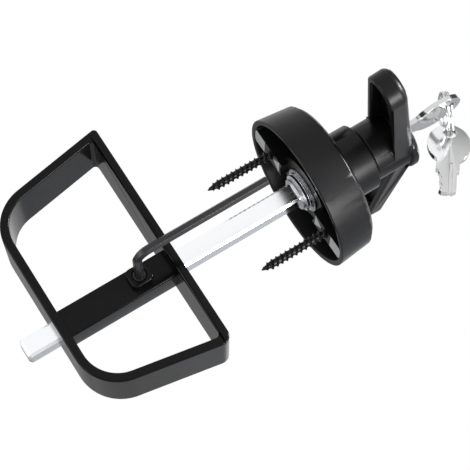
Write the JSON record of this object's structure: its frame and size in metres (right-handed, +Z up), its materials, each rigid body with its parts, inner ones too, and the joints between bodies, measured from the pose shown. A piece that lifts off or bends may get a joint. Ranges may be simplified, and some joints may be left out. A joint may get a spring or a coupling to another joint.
{
  "type": "t-handle garage door lock",
  "caption": "T-handle lock for a garage door: round escutcheon, square spindle, inside pull handle with set screw, hex key and two keys.",
  "frame": {"origin": "centre of the escutcheon's back face, on the spindle's axis", "axes": "+Y along the spindle into the garage, +Z up, X along the T-grip"},
  "size_m": [0.1146, 0.1945, 0.0984],
  "materials": {
    "black_coat": "satin black powder coat",
    "black_screw": "black phosphate",
    "zinc": "bright zinc plate",
    "nickel": "polished nickel plate",
    "brass": "machined brass",
    "spring_steel": "bright spring steel",
    "dark_steel": "black oxide steel"
  },
  "bodies": {
    "escutcheon_body": {"escutcheon": "black_coat", "mounting_screws": "black_screw"},
    "handle_body": {"t_handle": "black_coat", "lock_cylinder_shell": "nickel", "cylinder_retaining_pin": "spring_steel", "spindle": "zinc", "spindle_pin": "spring_steel", "wave_washer": "spring_steel", "thrust_washer": "zinc", "neck_circlip": "spring_steel"},
    "plug_body": {"lock_plug": "nickel", "wafer_1": "brass", "wafer_2": "brass", "wafer_3": "brass", "wafer_4": "brass", "wafer_5": "brass", "wafer_spring_1": "spring_steel", "wafer_spring_2": "spring_steel", "wafer_spring_3": "spring_steel", "wafer_spring_4": "spring_steel", "wafer_spring_5": "spring_steel"},
    "bolt_body": {"lock_bolt": "spring_steel"},
    "key_body": {"key_in_lock": "nickel"},
    "ring_body": {"key_ring": "nickel"},
    "spare_body": {"spare_key": "nickel"},
    "inside_handle_body": {"handle_strap": "black_coat", "handle_cross_plate": "black_coat", "handle_hub": "black_coat", "set_screw_boss": "black_coat"},
    "set_screw_body": {"set_screw": "dark_steel"},
    "hex_key_body": {"hex_key": "dark_steel"}
  },
  "joints": [
    {"name": "handle_turn", "type": "hinge", "parent": "escutcheon_body", "child": "handle_body", "pos_m": [0, 0, 0], "axis": [0, 1, 0], "range_deg": [-90, 90]},
    {"name": "plug_turn", "type": "hinge", "parent": "handle_body", "child": "plug_body", "pos_m": [0, 0, 0], "axis": [0, -1, 0], "range_deg": [0, 90]},
    {"name": "bolt_slide", "type": "slide", "parent": "handle_body", "child": "bolt_body", "axis": [0, 0, 1], "range_m": [0, 0.00198]},
    {"name": "key_withdraw", "type": "slide", "parent": "plug_body", "child": "key_body", "axis": [0, -1, 0], "range_m": [0, 0.03]},
    {"name": "ring_swing", "type": "hinge", "parent": "key_body", "child": "ring_body", "pos_m": [0, -0.07075, 0], "axis": [1, 0, 0], "range_deg": [-45, 0]},
    {"name": "spare_key_swing", "type": "hinge", "parent": "ring_body", "child": "spare_body", "pos_m": [0.0085, -0.06716, -0.0077], "axis": [1, 0, 0], "range_deg": [-45, 2]},
    {"name": "inside_handle_slide", "type": "slide", "parent": "handle_body", "child": "inside_handle_body", "axis": [0, 1, 0], "range_m": [-0.012, 0.012]},
    {"name": "set_screw_turn", "type": "hinge", "parent": "inside_handle_body", "child": "set_screw_body", "pos_m": [-0.009, 0.0686, 0.0008], "axis": [1, 0, 0], "range_deg": [-90, 90]},
    {"name": "hex_key_lift", "type": "slide", "parent": "set_screw_body", "child": "hex_key_body", "axis": [-1, 0, 0], "range_m": [0, 0.008]}
  ],
  "couplings": [
    {"joint": "bolt_slide", "follows": "plug_turn", "m_per_rad": 0.00126}
  ]
}
